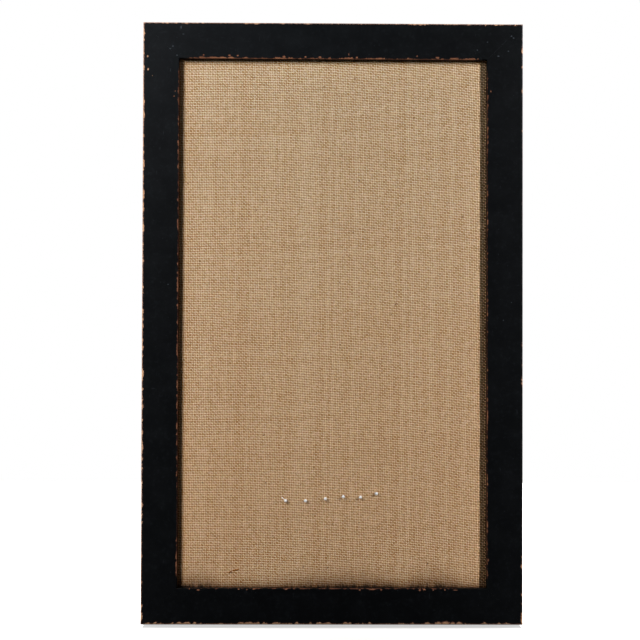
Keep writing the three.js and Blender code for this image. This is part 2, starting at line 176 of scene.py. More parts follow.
HARDWARE_SEAT = FRAME_BACK + 0.1 * MM
HANGER_X = 221.55 * MM
STRAP_SCREW_SEAT = FRAME_BACK + 2 * MM
STRAP_SCREWS = (-25 * MM, -38 * MM)
RING_Y = -2.6 * MM
RING_WIRE = 1.2 * MM
RING_HALF = 9 * MM
RING_CORNER = 2.5 * MM
RING_ARM = 3.5 * MM
RING_BUTT = 0.5 * MM
RING_RISE = 0.9 * MM
RING_TILT = math.asin(RING_RISE / (RING_CORNER + RING_ARM + RING_HALF))

BUTTON_BOSS = 5 * MM
BUTTON_TIP = 3.4 * MM
BUTTON_REACH = 15 * MM
BUTTON_HOLE = 1.8 * MM
BUTTON_SCREW_SEAT = HARDWARE_SEAT + 1.3 * MM
# Sections of its rim, as inset and height, and of its hole, as widening and height, in millimetres.
BUTTON_RIM = np.array([(0.45, 1.2), (0.18, 1.14), (0.05, 1.03), (0, 0.9), (0, 0.2), (0.06, 0.06), (0.2, 0)])
BUTTON_BORE = np.array([(0, 0), (0, 1.08), (0.12, 1.2)])
# Place of each turn button as x and z in millimetres, and the way that its tip points.
BUTTONS = {
    "top": (0, 59.5, 0, -1),
    "bottom": (0, -641.5, 0, 1),
    "left_upper": (-210.8, -105, 1, 0),
    "left_lower": (-210.8, -477, 1, 0),
    "right_upper": (210.8, -105, -1, 0),
    "right_lower": (210.8, -477, -1, 0),
}

SCREW_HEAD = 3.2 * MM
SCREW_HEIGHT = 1.9 * MM
SCREW_RIM = 0.6 * MM
SCREW_SHANK = 1.5 * MM
SCREW_LENGTH = 13 * MM
SCREW_POINT = 3 * MM
SCREW_EASE = 0.12 * MM
CROSS_ARM = 1.6 * MM
CROSS_HALF = 0.42 * MM
CROSS_SOFT = 0.16 * MM
CROSS_DEPTH = 1.1 * MM
CROSS_RISE = 0.4 * MM

BUMPER_X = 207.3 * MM
BUMPER_Z = -652.25 * MM
BUMPER_RADIUS = 6 * MM
BUMPER_HEIGHT = 5 * MM
BUMPER_ROUND = 1.5 * MM
# The dish in a bumper's face: share of the flat's radius, and depth in millimetres.
BUMPER_DISH = ((0.7, 0.12), (0.35, 0.25), (0.0, 0.3))

NOISE_TABLE = np.random.default_rng(11).uniform(-1, 1, 65537)
NOISE_PRIMES = np.array([7919, 104729, 15485863])


def lattice_noise(points, cell, seed):
    """Smooth noise from -1 to 1: random numbers on a lattice with this cell, blended between its corners
    by the weight 3f^2 - 2f^3 of how far f a point lies across its cell, along each axis."""
    scaled = np.asarray(points, float) / cell
    axes = scaled.shape[-1]
    floor = np.floor(scaled).astype(np.int64)
    part = scaled - floor
    fade = part * part * (3 - 2 * part)
    total = np.zeros(scaled.shape[:-1])
    for corner in np.ndindex(*(2,) * axes):
        step = np.array(corner)
        key = ((floor + step) * NOISE_PRIMES[:axes]).sum(axis=-1) + seed * 6151
        weight = np.where(step, fade, 1 - fade).prod(axis=-1)
        total += NOISE_TABLE[key % NOISE_TABLE.size] * weight
    return total


def ramp(value, low, high):
    """Rises from 0 at low to 1 at high along 3s^2 - 2s^3."""
    share = np.clip((value - low) / (high - low), 0, 1)
    return share * share * (3 - 2 * share)


def put_mesh(name, points, faces, marks):
    """A new object at the origin with these points, faces and per-point marks, its place in its mesh."""
    mesh = bpy.data.meshes.new(name)
    mesh.from_pydata(points.tolist(), [], faces)
    for key, values in marks.items():
        kind, slot = ("FLOAT", "value") if values.ndim == 1 else ("FLOAT_VECTOR", "vector")
        layer = mesh.attributes.new(key, kind, "POINT")
        layer.data.foreach_set(slot, values.astype(np.float32).ravel())
    piece = bpy.data.objects.new(name, mesh)
    bpy.context.scene.collection.objects.link(piece)
    return piece


def close_up(piece, crease):
    """Merges points that fall together, as at a pole, turns the faces of the closed skin outwards, and
    shades smooth except over edges past crease degrees."""
    shell = bmesh.new()
    shell.from_mesh(piece.data)
    bmesh.ops.remove_doubles(shell, verts=shell.verts, dist=1e-6)
    bmesh.ops.recalc_face_normals(shell, faces=shell.faces)
    shell.to_mesh(piece.data)
    shell.free()
    piece.data.shade_smooth()
    piece.data.set_sharp_from_angle(angle=math.radians(crease))


def grid_faces(rows, columns, looped=True, capped=False):
    """Quads over a grid of points, one more column of them if it is looped, and a face over each end row if
    it is capped."""
    index = np.arange(rows * columns).reshape(rows, columns)
    here = index if looped else index[:, :-1]
    ahead = np.roll(index, -1, axis=1) if looped else index[:, 1:]
    faces = np.stack([here[:-1], ahead[:-1], ahead[1:], here[1:]], axis=-1).reshape(-1, 4).tolist()
    if capped:
        faces.append(index[0, ::-1].tolist())
        faces.append(index[-1].tolist())
    return faces


def place(piece, body, nodes, slot):
    """Dresses a piece in the finish of its slot, sets it on its body and lets it stand for its nodes."""
    piece.data.materials.append(FINISHES[slot])
    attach(piece, body)
    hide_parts(*nodes)


class Wire:
    """One socket of a material's nodes. Arithmetic on wires adds Math nodes, and add() makes any node."""

    def __init__(self, tree, socket=None):
        self.tree = tree
        self.socket = socket

    def add(self, kind, settings=None, inputs=None, output=0):
        """A node of this kind: its settings are set first, then its sockets get values or links."""
        node = self.tree.nodes.new(kind)
        for key, value in (settings or {}).items():
            setattr(node, key, value)
        for key, value in (inputs or {}).items():
            if isinstance(value, Wire):
                self.tree.links.new(value.socket, node.inputs[key])
            else:
                node.inputs[key].default_value = value
        return Wire(self.tree, node.outputs[output] if node.outputs else None)

    def part(self, output):
        """Another output of the node that this wire comes from."""
        return Wire(self.tree, self.socket.node.outputs[output])

    def math(self, operation, *values):
        return self.add("ShaderNodeMath", {"operation": operation}, dict(enumerate(values)))

    def vector(self, operation, *values, output=0):
        return self.add("ShaderNodeVectorMath", {"operation": operation}, dict(enumerate(values)), output)

    def axis(self, letter):
        """The x, y or z of this vector."""
        return self.add("ShaderNodeSeparateXYZ", None, {0: self}, letter)

    def __add__(self, other):
        return self.math("ADD", self, other)

    def __sub__(self, other):
        return self.math("SUBTRACT", self, other)

    def __rsub__(self, other):
        return self.math("SUBTRACT", other, self)

    def __mul__(self, other):
        return self.math("MULTIPLY", self, other)

    def __truediv__(self, other):
        return self.math("DIVIDE", self, other)

    __radd__ = __add__
    __rmul__ = __mul__

    def above(self, low, high):
        """0 below low, 1 above high and a smooth step between."""
        settings = {"interpolation_type": "SMOOTHSTEP"}
        return self.add("ShaderNodeMapRange", settings, {"Value": self, "From Min": low, "From Max": high})

    def noise(self, scale, detail=2.0, roughness=0.5):
        """Noise over this vector, about 0.5."""
        inputs = {"Vector": self, "Scale": scale, "Detail": detail, "Roughness": roughness}
        return self.add("ShaderNodeTexNoise", None, inputs)

    def spread(self, scales, turn=(0, 0, 0)):
        """This vector turned, then stretched by three scales."""
        return self.add("ShaderNodeMapping", None, {"Vector": self, "Rotation": turn, "Scale": scales})

    def inside_of(self, middle, radii):
        """How deep this place lies in an ellipsoid: 1.5 at its middle, 0.5 on its skin and less outside."""
        share = self.vector("DIVIDE", self.vector("SUBTRACT", self, middle), radii)
        return 1.5 - self.vector("LENGTH", share, output="Value")

    def blend(self, first, second):
        """Colour first where this wire is 0 and second where it is 1."""
        settings = {"data_type": "RGBA"}
        return self.add("ShaderNodeMix", settings, {0: self, 6: first, 7: second}, output=2)

    def tone(self, shares):
        """This colour with its red, green and blue multiplied by shares."""
        return self.vector("MULTIPLY", self, shares)

    def tinted(self, amount, shares):
        """This colour, and its tone by shares where amount is 1."""
        return amount.blend(self, self.tone(shares))

    def fading(self, reach):
        """exp(d / reach) of this distance d past an edge: 1 at the edge and less the further inside."""
        share = self / reach
        return share.math("EXPONENT", share)

    def bump(self, strength, distance):
        """A normal from this wire as a height, in units of distance."""
        inputs = {"Strength": strength, "Distance": distance, "Height": self}
        return self.add("ShaderNodeBump", None, inputs)


def rgb(red, green, blue):
    return (red, green, blue, 1.0)


def new_finish(name):
    """An empty material and a wire to start its nodes from."""
    material = bpy.data.materials.new(name)
    material.use_nodes = True
    material.node_tree.nodes.clear()
    return material, Wire(material.node_tree)


def mark(start, name, output="Fac"):
    """One of the marks that put_mesh gives to points."""
    return start.add("ShaderNodeAttribute", {"attribute_name": name}, output=output)


def object_place(start):
    return start.add("ShaderNodeTexCoord", output="Object")


def finish(name, recipe, *looks):
    """A material with a Principled shader. The recipe makes its sockets from places on the object."""
    material, start = new_finish(name)
    shader = start.add("ShaderNodeBsdfPrincipled", None, recipe(object_place(start), *looks))
    start.add("ShaderNodeOutputMaterial", None, {"Surface": shader})
    return material


def in_spots(spot, table, front, half_depth):
    """How deep a place lies in the spots of a table, which are ellipsoids about the plane y = front."""
    deepest = None
    for x, z, half_width, half_height in table:
        depth = spot.inside_of((x * MM, front, z * MM), (half_width * MM, half_depth, half_height * MM))
        deepest = depth if deepest is None else depth.math("MAXIMUM", depth, deepest)
    return deepest


# Where the painted sheen lies on the paint and where its mitre shows: middle and radii of an ellipsoid.
PAINTED_SHEEN_AT = ((-0.08, -0.03, 0.09), (0.3, 0.3, 0.2))
JOINT_AT = ((0.24, -0.03, 0.09), (0.07, 0.07, 0.07))


def black_paint(spot):
    """Satin black over a pinkish brown primer and bare wood. The mark rub is 0.5 at the edge of the worn
    strip and grows into it; fine noise frays that edge. Chips bare the wood, which is redder where the mark
    browner is 1. Strokes, specks, scuffs and a broken line at one mitre are pale, and a cloudy painted sheen
    lies on the upper left, where the light glances off the paint."""
    browner = mark(spot, "browner")
    along = mark(spot, "rail", "Vector")
    rub = mark(spot, "rub")
    rub = rub.math("MAXIMUM", rub, in_spots(spot, CHIPS, FRAME_FRONT, SPOT_DEPTH) + 0.25)
    fray = rub + (spot.noise(520, 3, 0.65) - 0.5) * 1.2 + (spot.noise(1500) - 0.5) * 0.7
    primer = fray.above(0.36, 0.52)
    bare = fray.above(0.66, 0.9)
    grain = along.spread((90, 1100, 1100)).noise(1, 3, 0.6)
    light_grain = grain.above(0.3, 0.7)
    tan = light_grain.blend(rgb(0.3, 0.16, 0.085), rgb(0.56, 0.33, 0.19))
    brown = light_grain.blend(rgb(0.13, 0.05, 0.026), rgb(0.33, 0.145, 0.075))
    wood = browner.blend(tan, brown)

    cloud = spot.noise(38, 3, 0.6)
    mottle = cloud.above(0.4, 0.8) * 0.25 + spot.noise(210, 3, 0.7).above(0.5, 0.8)
    slant = spot.spread((420, 30, 60), (0, math.radians(32), 0)).noise(1)
    cross = spot.spread((52, 30, 520), (0, math.radians(-24), 0)).noise(1)
    strokes = slant.above(0.69, 0.78) + cross.above(0.7, 0.79)
    strokes = strokes * spot.noise(24).above(0.42, 0.66)
    scuff = in_spots(spot, SCUFFS, FRAME_FRONT, SPOT_DEPTH)
    scuff = (scuff + spot.noise(700) - 0.5).above(0.45, 1.1)
    speck = spot.noise(430, 1).above(0.735, 0.78)
    joint = 1 - mark(spot, "mitre").above(0.15 * MM, 0.7 * MM)
    joint = joint * spot.noise(120).above(0.42, 0.62)
    joint = joint * spot.inside_of(*JOINT_AT).above(0.4, 0.8)
    # Painted sheen: the upper left is made paler, as where light glances off the paint.
    painted_sheen = spot.inside_of(*PAINTED_SHEEN_AT).above(0.3, 1.5)
    painted_sheen = painted_sheen * (0.3 + spot.noise(55, 3, 0.6) * 1.4)
    layers = ((strokes, 0.3), (speck, 0.2), (joint, 0.08), (painted_sheen, 0.034), (mottle, 0.055), (scuff, 0.6))
    pale = sum(layer * share for layer, share in layers)
    black = rgb(0.0016, 0.0018, 0.0022)
    pale_marks_and_sheen = rgb(0.067, 0.079, 0.093)
    paint = pale.math("MINIMUM", pale, 1.0).blend(black, pale_marks_and_sheen)
    undercoat = browner.blend(rgb(0.175, 0.085, 0.062), rgb(0.1, 0.037, 0.022))
    primed = primer.blend(paint, undercoat)
    colour = bare.blend(primed, wood)

    orange_peel = spot.noise(900)
    gloss = 0.33 + cloud * 0.12 + strokes * 0.15 + primer * 0.4
    height = orange_peel * 0.16 - bare * 0.9 - primer * 0.6 + grain * bare * 0.5 - strokes * 0.1
    return {
        "Base Color": colour,
        "Roughness": gloss,
        "Specular IOR Level": 0.115,
        "Specular Tint": rgb(0.86, 0.94, 1.0),
        "Normal": height.bump(0.35, 0.25 * MM),
    }


def strands(across, onwards, seed, side):
    """One way of the weave, warp or weft, from the counts of threads across and along it: each thread's
    number, own shade and slubs, its section and how high it stands. The section is 1 - f^2, where f is the
    share of the half width that a place lies off the middle line. A thread rises and dips as the sine of
    the count along it, slanted by its twist, and the thread beside it does the opposite."""
    number = across.math("FLOOR", across)
    off_middle = across - number - 0.5
    own = number.add("ShaderNodeTexWhiteNoise", {"noise_dimensions": "1D"}, {"W": number + seed})
    strand = number.add("ShaderNodeCombineXYZ", None, {0: number * 3.71, 1: onwards * 0.24, 2: seed})
    slub = strand.noise(1, 3, 0.55)
    half_width = 0.37 + own * 0.04 + slub * 0.1
    share = off_middle / half_width
    section = 1 - share * share
    section = section.math("MAXIMUM", section, 0.0)
    turn = onwards + off_middle * 0.5
    order = number.math("COSINE", number * math.pi)
    rise = turn.math("SINE", turn * math.pi) * order * side
    high = section.above(0, 0.3) * (section * 0.5 + rise * 0.4 + 0.55)
    return number, own, slub, section, high


def plain_weave(spot):
    """How light the weave is, how high, and white noise with one value for each crossing. The mark weave
    counts warp threads in x and weft threads in y, and slow noise lets them wander. The higher thread shows,
    with painted shade to its sides and in the gaps. Crossings vary at random and by the cosine of both
    counts' sum."""
    wander = spot.noise(46).part("Color")
    shift = wander.vector("SUBTRACT", wander, (0.5, 0.5, 0.5))
    count = shift.vector("MULTIPLY_ADD", shift, (0.22, 0.32, 0.0), mark(spot, "weave", "Vector"))
    warp, weft = count.axis("X"), count.axis("Y")
    warp_number, warp_own, warp_slub, warp_round, warp_high = strands(warp, weft, 3.3, 1.0)
    weft_number, weft_own, weft_slub, weft_round, weft_high = strands(weft, warp, 47.7, -1.0)
    top = warp_high.math("MAXIMUM", warp_high, weft_high)
    over = (warp_high - weft_high).above(-0.12, 0.12)

    twist = spot.spread((900, 900, 1500), (0, math.radians(35), 0)).noise(1, 3, 0.6)
    crossing = spot.add("ShaderNodeCombineXYZ", None, {0: warp_number, 1: weft_number})
    knot = crossing.add("ShaderNodeTexWhiteNoise", {"noise_dimensions": "2D"}, {"Vector": crossing})
    warp_light = 0.645 + warp_own * 0.115 + warp_slub * 0.045
    weft_light = 0.71 + weft_own * 0.07 + weft_slub * 0.05
    light = (over * warp_light + (1 - over) * weft_light) * (0.88 + knot * 0.24)
    light = light * (1 - (1 - weft_round) * (0.9 - over * 0.32))
    light = light * (1 - (1 - warp_round) * (0.42 + over * 0.36))
    light = light * (0.6 + top.above(0.05, 1.05) * 0.4) * (0.85 + twist * 0.3)
    slant = (warp + weft) * math.pi
    light = light * (1 + slant.math("COSINE", slant) * 0.18)
    return light, top + twist * 0.25, knot


# Tints of the burlap: what its red, green and blue are multiplied by.
GAP_SHADE_TINT = (0.81, 0.74, 0.64)
LOW_TINT = (1.22, 1.09, 1.0)
MIDWAY_TINT = (1.03, 1.035, 1.03)
UNDER_TOP_PAINTED_LIGHT_TINT = (1.12, 1.13, 1.15)
PAINTED_LIP_SHADE_TINT = (0.15, 0.08, 0.045)
PAINTED_HOLLOW_SHADOW_TINT = (0.1, 0.11, 0.12)
LEFT_PAINTED_SHADE_TINT = (0.88, 0.62, 0.42)
TOP_PAINTED_SHADE_TINT = (0.6, 0.5, 0.38)
RIGHT_PAINTED_LIGHT_TINT = (5.1, 4.1, 3.2)
# How far they reach in from the edges of the opening.
UNDER_TOP_PAINTED_LIGHT_REACH = 22 * MM
PAINTED_LIP_SHADE_REACH = 5.5 * MM
SAG_SHADE_REACH = 7.5 * MM
PAINTED_HOLLOW_SHADOW_REACH = 3.4 * MM
SHADE_REACH = 4 * MM
RIGHT_PAINTED_LIGHT_REACH = 5 * MM


def burlap(spot):
    """Plain-woven jute. The weave's light p, spread by the contrast, is bent to p + 0.9 p (1 - p) - 0.1,
    which flattens its bright end, and leads from brown to straw. Gaps get a browner painted shade, each
    crossing has its own tinge, and dark flecks lie about. It is redder lower down, lighter midway between
    its sides, and lifted by painted light below the top lip. Close to the lips painted shade darkens it at
    the bottom, deeper in the sag stretches and in a ragged hollow, and browns it at the left and top;
    painted grazing light makes it pale and ribbed at the right."""
    light, height, knot = plain_weave(spot)
    sideways = spot.axis("X")
    height_on_board = spot.axis("Z")
    low = 1 - height_on_board.above(BOARD_BOTTOM, BOARD_TOP)
    contrast = 2.65 + low * 0.3
    pale = (light - 0.43) * contrast + sideways * 0.08 + 0.338
    pale = pale + pale * (1 - pale) * 0.9 - 0.1
    jute = pale.blend(rgb(0.285, 0.114, 0.011), rgb(0.745, 0.66, 0.496))
    # Painted shade, browner, in the weave's gaps.
    gap_shade = 1 - pale.above(-0.6, 0.05)
    jute = jute.tinted(gap_shade, GAP_SHADE_TINT)
    tinge = knot.vector("MULTIPLY_ADD", knot.part("Color"), (0.08, 0.03, 0.14), (0.957, 0.992, 0.92))
    jute = jute.tone(tinge)

    aside = sideways / SIGHT_SIDE
    past_top = height_on_board - SIGHT_TOP
    past_bottom = SIGHT_BOTTOM - height_on_board
    jute = jute.tinted(low, LOW_TINT)
    jute = jute.tinted(1 - aside * aside, MIDWAY_TINT)
    # Painted light that lifts the cloth under the top lip, against that lip's shadow.
    jute = jute.tinted(past_top.fading(UNDER_TOP_PAINTED_LIGHT_REACH), UNDER_TOP_PAINTED_LIGHT_TINT)
    fleck = spot.noise(260, 1).above(0.765, 0.8)
    jute = (fleck * 0.75).blend(jute, rgb(0.11, 0.06, 0.035))
    # Where the painted shade over the bottom lip reaches further and darker.
    sag_shade = in_spots(spot, SAG_SHADES, CLOTH_FRONT, SAG_SHADE_DEPTH).above(0.3, 1.3)
    # Painted shade along the bottom lip, reaching further in the sag stretches.
    painted_lip_shade = past_bottom.fading(PAINTED_LIP_SHADE_REACH + sag_shade * SAG_SHADE_REACH) * 0.92
    jute = jute.tinted(painted_lip_shade, PAINTED_LIP_SHADE_TINT)
    ragged = spot.spread((170, 60, 60)).noise(1, 4, 0.7).above(0.34, 0.62)
    # Painted shadow of a ragged hollow just above the bottom lip, darker in the sag stretches.
    hollow = past_bottom.fading(PAINTED_HOLLOW_SHADOW_REACH) * (0.25 + sag_shade * 0.9) * ragged * 1.5
    jute = jute.tinted(hollow, PAINTED_HOLLOW_SHADOW_TINT)
    # Painted brown shade in the shadow bands by the left and top lips.
    jute = jute.tinted((0 - sideways - SIGHT_SIDE).fading(SHADE_REACH), LEFT_PAINTED_SHADE_TINT)
    jute = jute.tinted(past_top.fading(SHADE_REACH), TOP_PAINTED_SHADE_TINT)
    # Painted light: in the shadow band by the right lip the thread tops are paler and more contrasted, as
    # grazing light would leave them.
    painted_grazing_light = jute.tone(light * light).tone(RIGHT_PAINTED_LIGHT_TINT)
    jute = (sideways - SIGHT_SIDE).fading(RIGHT_PAINTED_LIGHT_REACH).blend(jute, painted_grazing_light)
    return {
        "Base Color": jute,
        "Roughness": 0.92,
        "Specular IOR Level": 0.12,
        "Normal": height.bump(0.55, 0.5 * MM),
    }


def pearl(spot):
    """Pearly moulded plastic, faintly cloudy under a clear gloss. A faint glow, painted light, makes it
    brighter.
    """
    cloud = spot.noise(420, 3, 0.6)
    return {
        "Base Color": cloud.above(0.3, 0.7).blend(rgb(0.93, 0.91, 0.87), rgb(0.97, 0.96, 0.94)),
        "Roughness": 0.2 + spot.noise(900) * 0.14,
        "Subsurface Weight": 0.7,
        "Subsurface Radius": (1.0, 0.95, 0.85),
        "Subsurface Scale": 1.5 * MM,
        "Coat Weight": 0.8,
        # Painted light: a faint white glow, though the head is no lamp.
        "Emission Color": rgb(1, 1, 1),
        "Emission Strength": 0.08,
        "Coat Roughness": 0.12,
        "Normal": cloud.bump(0.05, 0.1 * MM),
    }


def plated(spot, dull, bright, roughness, tarnish):
    """Plated metal: dull and bright tints in a cloudy pattern, drawn lines and darker tarnish."""
    cloud = spot.noise(240, 3, 0.6)
    drawn = spot.spread((3000, 900, 260)).noise(1)
    stain = spot.noise(90, 4, 0.65).above(0.52, 0.72)
    metal = cloud.above(0.3, 0.7).blend(dull, bright)
    return {
        "Base Color": (stain * 0.55).blend(metal, tarnish),
        "Metallic": 1.0,
        "Roughness": roughness + drawn * 0.14 + stain * 0.18,
        "Normal": (drawn + cloud).bump(0.08, 0.06 * MM),
    }


def hardboard(spot):
    """Pressed brown board: short fibres in two directions, a fine mesh print and small dark flecks."""
    upright = spot.spread((900, 900, 160)).noise(1, 4, 0.65)
    level = spot.spread((160, 900, 900)).noise(1, 4, 0.65)
    cloud = spot.noise(9, 3, 0.6)
    mixed = (upright + level) * 0.5
    colour = mixed.above(0.34, 0.66).blend(rgb(0.13, 0.066, 0.03), rgb(0.29, 0.165, 0.08))
    colour = (cloud.above(0.4, 0.75) * 0.4).blend(colour, rgb(0.23, 0.12, 0.055))
    fleck = spot.noise(700).above(0.7, 0.76)
    colour = (fleck * 0.7).blend(colour, rgb(0.055, 0.028, 0.014))

    def ribs(way):
        wave = {"wave_type": "BANDS", "bands_direction": way}
        return spot.add("ShaderNodeTexWave", wave, {"Vector": spot, "Scale": 160})

    height = mixed + ribs("X") * ribs("Z") * 0.5
    return {
        "Base Color": colour,
        "Roughness": 0.62 + mixed * 0.2,
        "Specular IOR Level": 0.3,
        "Normal": height.bump(0.25, 0.15 * MM),
    }


def fibreboard(spot):
    """Soft grey-tan board with felted fibres."""
    felt = spot.noise(500, 5, 0.7)
    colour = felt.above(0.3, 0.7).blend(rgb(0.24, 0.19, 0.14), rgb(0.42, 0.35, 0.27))
    return {"Base Color": colour, "Roughness": 0.95, "Normal": felt.bump(0.4, 0.3 * MM)}


def rubber(spot):
    """Matt black rubber with a dusty bloom."""
    dust = spot.noise(300, 4, 0.65)
    colour = dust.above(0.45, 0.8).blend(rgb(0.013, 0.013, 0.014), rgb(0.05, 0.048, 0.045))
    return {"Base Color": colour, "Roughness": 0.6 + dust * 0.3, "Normal": dust.bump(0.2, 0.1 * MM)}


# The recipe of each finish. Plated ones add a dull and a bright tint, roughness and tarnish.
RECIPES = {
    "black_paint": (black_paint,),
    "burlap": (burlap,),
    "pearl_plastic": (pearl,),
    "hardboard": (hardboard,),
    "fibreboard": (fibreboard,),
    "black_rubber": (rubber,),
    "nail_steel": (plated, rgb(0.3, 0.3, 0.3), rgb(0.46, 0.46, 0.45), 0.38, rgb(0.16, 0.09, 0.05)),
    "zinc_steel": (plated, rgb(0.33, 0.33, 0.33), rgb(0.47, 0.47, 0.46), 0.28, rgb(0.2, 0.18, 0.16)),
    "brass_plate": (plated, rgb(0.4, 0.26, 0.09), rgb(0.56, 0.39, 0.16), 0.26, rgb(0.17, 0.1, 0.04)),
    "pin_steel": (plated, rgb(0.8, 0.8, 0.79), rgb(0.9, 0.9, 0.89), 0.34, rgb(0.6, 0.58, 0.55)),
}
FINISHES = {name: finish(name, *recipe) for name, recipe in RECIPES.items()}

# Wear of the rails in order round the frame: reach of bare wood from the outer edge at least and in chips,
# in millimetres, how common chips are, both reaches at the inner edge, and chips added near the two ends.
WEAR = {
    "frame_bottom_rail": (1.25, 2.1, 0.25, 0.2, 0.9, 0.0, -0.5),
    "frame_right_stile": (0.35, 2.3, -0.65, 0.7, 1.4, 1.7, 0.0),
    "frame_top_rail": (1.05, 1.1, 0.0, 0.75, 1.7, 0.1, -0.5),
    "frame_left_stile": (1.15, 1.5, 0.0, 0.55, 1.6, -0.3, 0.0),
}
# Cell and share of each noise that is summed along a rail.
WEAR_NOISES = ((28 * MM, 0.4), (4.2 * MM, 0.85), (1.7 * MM, 0.4))
START_REACH = 70 * MM
END_REACH = 22 * MM
UNWORN_CORNER = 8 * MM
WORN_FROM_CORNER = 26 * MM
RUB_WIDTH = 1.6 * MM
# How much browner the bottom rail's outer half is: painted shade, as that edge faces down into shadow.
BOTTOM_RAIL_PAINTED_SHADE = 0.35
# Shares of the way over a rail's face, from its inner to its outer edge, closest where it wears.
FACE_SHARES = np.array([[0.01, 0.025, 0.045, 0.08, 0.14, 0.25, 0.5, 0.75, 0.86, 0.92, 0.955, 0.975, 0.99]])


def rail_points(length, wear, seed):
    """A mitred rail in its own axes: w along it, u inwards from its outer edge, t forwards from its back.
    The section runs once round the rail, both front edges eased by quarter circles whose radius grows with
    wear. Wear is a sum of noises along w. At share s of its length a point lies at
    w = (u + gap) + s * (length - 2 * (u + gap)), which cuts both ends at 45 degrees."""
    outer_least, outer_chip, chips, inner_least, inner_chip, start_wear, end_wear = wear
    share = np.linspace(0, 1, RAIL_STEPS + 1)[:, None]
    run = share * length

    def runs(offset):
        noises = enumerate(WEAR_NOISES, seed)
        return sum(part * lattice_noise(run + offset, cell, own) for own, (cell, part) in noises)[:, None]

    near_start = np.exp(-run / START_REACH)
    near_end = np.exp((run - length) / END_REACH)
    ends = start_wear * near_start + end_wear * near_end
    outer_rub = ramp(runs(0.0) + chips + ends, 0.0, 1.0)
    inner_rub = ramp(runs(3.0), -0.3, 0.8)
    inner_kept = ramp(np.minimum(run, length - run), UNWORN_CORNER, WORN_FROM_CORNER)
    outer_reach = (outer_least + outer_chip * outer_rub) * MM
    inner_reach = (inner_least + inner_chip * inner_rub) * MM * inner_kept
    outer = OUTER_EASE * (1 + 0.1 * runs(7.0)) + OUTER_WORN * outer_rub
    inner = INNER_EASE * (1 + 0.1 * runs(9.0)) + INNER_WORN * inner_rub

    arc = np.linspace(0, math.pi / 2, ARC_POINTS)[None, :]
    one = np.ones_like(run)
    hollow = RAIL_WIDTH - SHELF_WIDTH
    shelf = RAIL_DEPTH - LIP_DEPTH
    back_u = one * np.append(BACK_EASE, np.array([0.25, 0.5, 0.75, 1.0, 1.0, 1.0]) * hollow)
    back_t = one * np.array([0.0, 0.0, 0.0, 0.0, 0.0, 0.5, 1.0]) * shelf
    wall_u = one * np.full(3, RAIL_WIDTH)
    wall_t = one * (shelf + np.array([0.0, 0.3, 0.6]) * LIP_DEPTH)
    inner_u = RAIL_WIDTH - inner * (1 - np.cos(arc))
    inner_t = RAIL_DEPTH - inner * (1 - np.sin(arc))
    face_u = (RAIL_WIDTH - inner) + (outer - (RAIL_WIDTH - inner)) * FACE_SHARES
    face_t = one * np.full_like(FACE_SHARES, RAIL_DEPTH)
    outer_u = outer * (1 - np.sin(arc))
    outer_t = RAIL_DEPTH - outer * (1 - np.cos(arc))
    side_u = one * np.zeros(4)
    side_t = one * np.array([0.72, 0.45, 0.2, BACK_EASE / RAIL_DEPTH]) * RAIL_DEPTH
    u = np.hstack([back_u, wall_u, inner_u, face_u, outer_u, side_u])
    t = np.hstack([back_t, wall_t, inner_t, face_t, outer_t, side_t])
    w = (u + MITRE_GAP) + share * (length - 2 * (u + MITRE_GAP))

    to_inner = np.hypot(RAIL_WIDTH - u, RAIL_DEPTH - t)
    to_outer = np.hypot(u, RAIL_DEPTH - t)
    marks = {
        "rub": 0.5 + np.maximum(inner_reach - to_inner, outer_reach - to_outer) / RUB_WIDTH,
        "browner": (u > RAIL_WIDTH / 2).astype(float),
        "mitre": np.minimum(w - u, length - u - w),
        "rail": np.stack([w, u, t], axis=-1),
    }
    return w, u, t, marks


def add_rails():
    """The four rails, each turned a quarter from the last, so that w runs round the frame."""
    half = BOARD_WIDTH / 2
    corners = ((-half, BOARD_BOTTOM), (half, BOARD_BOTTOM), (half, BOARD_TOP), (-half, BOARD_TOP))
    ways = ((1, 0), (0, 1), (-1, 0), (0, -1))
    for number, (node, wear) in enumerate(WEAR.items()):
        length = (BOARD_WIDTH, BOARD_HEIGHT)[number % 2]
        corner, onward, inward = corners[number], ways[number], ways[(number + 1) % 4]
        w, u, t, marks = rail_points(length, wear, 20 + 10 * number)
        # The bottom rail's outer half gets its painted shade.
        if node == "frame_bottom_rail":
            marks["browner"] = np.maximum(marks["browner"], BOTTOM_RAIL_PAINTED_SHADE)
        x = corner[0] + w * onward[0] + u * inward[0]
        z = corner[1] + w * onward[1] + u * inward[1]
        points = np.stack([x, FRAME_BACK - t, z], axis=-1)
        faces = grid_faces(*points.shape[:2], capped=True)
        flat_marks = {key: value.reshape(-1, *value.shape[2:]) for key, value in marks.items()}
        rail = put_mesh(f"{node}_worn", points.reshape(-1, 3), faces, flat_marks)
        rail.data.shade_smooth()
        rail.data.set_sharp_from_angle(angle=math.radians(FINE_CREASE))
        place(rail, "board", [node], "black_paint")


# Points along the burlap's front in x and in z.
FRONT_POINTS = (131, 221)
FOLD_TURN = EDGE_ROUND * math.pi / 2
FOLD_SIDE = PANEL_DEPTH - 2 * EDGE_ROUND
FOLD_FLAP = FLAP_WIDTH - EDGE_ROUND
FLAT_TO = 8 * MM
FREE_FROM = 45 * MM
# Swells of the cloth: height in millimetres, then cell and seed of the noise.
SWELLS = ((0.35, 0.16, 3), (0.14, 0.045, 4))
WEFT_SLOPE = 0.053
WEFT_BOW = 0.13
WARP_LEAN = 0.02
ROLL_DEPTH = 0.8 * MM
ROLL_REACH = 34 * MM


